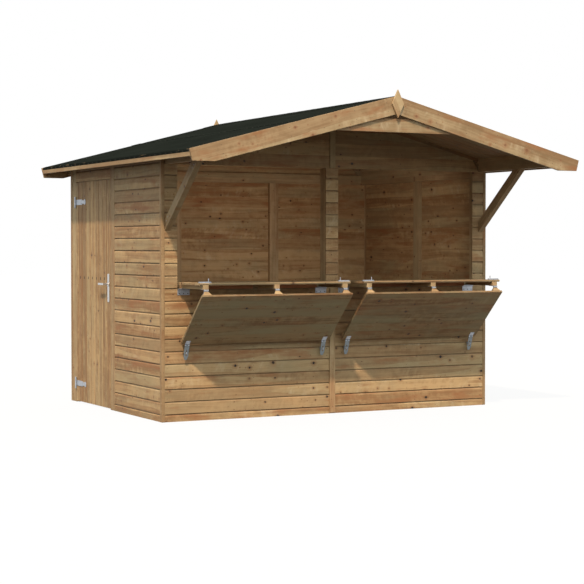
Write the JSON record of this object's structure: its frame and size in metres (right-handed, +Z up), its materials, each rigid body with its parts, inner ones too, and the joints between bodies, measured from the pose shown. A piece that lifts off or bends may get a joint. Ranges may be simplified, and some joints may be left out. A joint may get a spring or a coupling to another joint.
{
  "type": "wooden market stall",
  "caption": "Gabled timber market stall with a deep front canopy, folding serving counters over a boarded front wall, and a hinged side door.",
  "frame": {"origin": "on the ground, at the middle of the bottom of the stall's outline", "axes": "+Z up, -Y out of the serving front, +X along the front towards the side wall without a door"},
  "size_m": [3.402, 3.222, 2.523],
  "materials": {
    "cladding": "planed softwood boards, pressure-treated",
    "counter_boards": "planed softwood boards, pressure-treated",
    "door_boards": "planed softwood boards, pressure-treated",
    "framing": "planed softwood, pressure-treated",
    "trim": "planed softwood boards, pressure-treated",
    "roof_boards": "softwood roof boards",
    "roof_felt": "mineral-surfaced bitumen felt",
    "zinc_steel": "zinc-plated steel, matt",
    "door_furniture": "satin"
  },
  "bodies": {
    "stall": {"back_gable_cladding": "cladding", "back_wall_cladding": "cladding", "back_wall_rails": "framing", "back_wall_studs": "framing", "canopy_braces": "framing", "centre_post": "framing", "collar_boards": "trim", "corner_trims": "trim", "counter_wall_hinges": "zinc_steel", "door_header": "cladding", "door_hinge_plates": "zinc_steel", "door_posts": "trim", "eave_beams": "framing", "eave_fascias": "trim", "finials": "trim", "front_bargeboards": "trim", "front_cover_strips": "trim", "front_gable_cladding": "cladding", "front_lower_cladding": "cladding", "front_strip_cladding": "cladding", "front_wall_rails": "framing", "front_wall_studs": "framing", "gable_rails": "framing", "left_wall_cladding": "cladding", "rear_bargeboards": "trim", "ridge_beam": "framing", "right_wall_cladding": "cladding", "roof_boards_left": "roof_boards", "roof_boards_right": "roof_boards", "roof_eave_battens": "framing", "roof_felt_left": "roof_felt", "roof_felt_right": "roof_felt", "roof_rafters": "framing", "side_wall_rails": "framing", "side_wall_studs": "framing", "wall_staples": "zinc_steel"},
    "door": {"door_boards": "door_boards", "door_ledges": "framing", "door_hinge_straps": "zinc_steel", "door_handle_plate": "door_furniture"},
    "door_lever": {"door_lever": "door_furniture"},
    "left_counter": {"left_counter_board": "counter_boards", "left_counter_battens": "framing", "left_counter_ironwork": "zinc_steel"},
    "left_flap": {"left_flap_board": "counter_boards", "left_flap_battens": "framing", "left_flap_ironwork": "zinc_steel"},
    "left_outer_hasp": {"left_outer_hasp": "zinc_steel"},
    "left_inner_hasp": {"left_inner_hasp": "zinc_steel"},
    "right_counter": {"right_counter_board": "counter_boards", "right_counter_battens": "framing", "right_counter_ironwork": "zinc_steel"},
    "right_flap": {"right_flap_board": "counter_boards", "right_flap_battens": "framing", "right_flap_ironwork": "zinc_steel"},
    "right_outer_hasp": {"right_outer_hasp": "zinc_steel"},
    "right_inner_hasp": {"right_inner_hasp": "zinc_steel"}
  },
  "joints": [
    {"name": "door", "type": "hinge", "parent": "stall", "child": "door", "pos_m": [-1.498, 1.2885, 0.947], "axis": [0, 0, -1], "range_deg": [0, 170]},
    {"name": "door_lever", "type": "hinge", "parent": "door", "child": "door_lever", "pos_m": [-1.49, 0.52, 1.038], "axis": [-1, 0, 0], "range_deg": [0, 45], "stiffness_Nm_per_rad": 0.5, "springref_deg": -28.65},
    {"name": "left_counter", "type": "hinge", "parent": "stall", "child": "left_counter", "pos_m": [-0.7075, -0.603, 1.018], "axis": [-1, 0, 0], "range_deg": [0, 90]},
    {"name": "left_flap", "type": "hinge", "parent": "left_counter", "child": "left_flap", "pos_m": [-0.7075, -1.00702, 1.018], "axis": [-1, 0, 0], "range_deg": [0, 136]},
    {"name": "left_outer_hasp", "type": "hinge", "parent": "left_flap", "child": "left_outer_hasp", "pos_m": [-1.305, -0.65375, 0.59066], "axis": [-1, 0, 0], "range_deg": [0, 140]},
    {"name": "left_inner_hasp", "type": "hinge", "parent": "left_flap", "child": "left_inner_hasp", "pos_m": [-0.11, -0.65375, 0.59066], "axis": [-1, 0, 0], "range_deg": [0, 140]},
    {"name": "right_counter", "type": "hinge", "parent": "stall", "child": "right_counter", "pos_m": [0.7075, -0.603, 1.018], "axis": [-1, 0, 0], "range_deg": [0, 90]},
    {"name": "right_flap", "type": "hinge", "parent": "right_counter", "child": "right_flap", "pos_m": [0.7075, -1.00702, 1.018], "axis": [-1, 0, 0], "range_deg": [0, 136]},
    {"name": "right_outer_hasp", "type": "hinge", "parent": "right_flap", "child": "right_outer_hasp", "pos_m": [1.305, -0.65375, 0.59066], "axis": [-1, 0, 0], "range_deg": [0, 140]},
    {"name": "right_inner_hasp", "type": "hinge", "parent": "right_flap", "child": "right_inner_hasp", "pos_m": [0.11, -0.65375, 0.59066], "axis": [-1, 0, 0], "range_deg": [0, 140]}
  ]
}
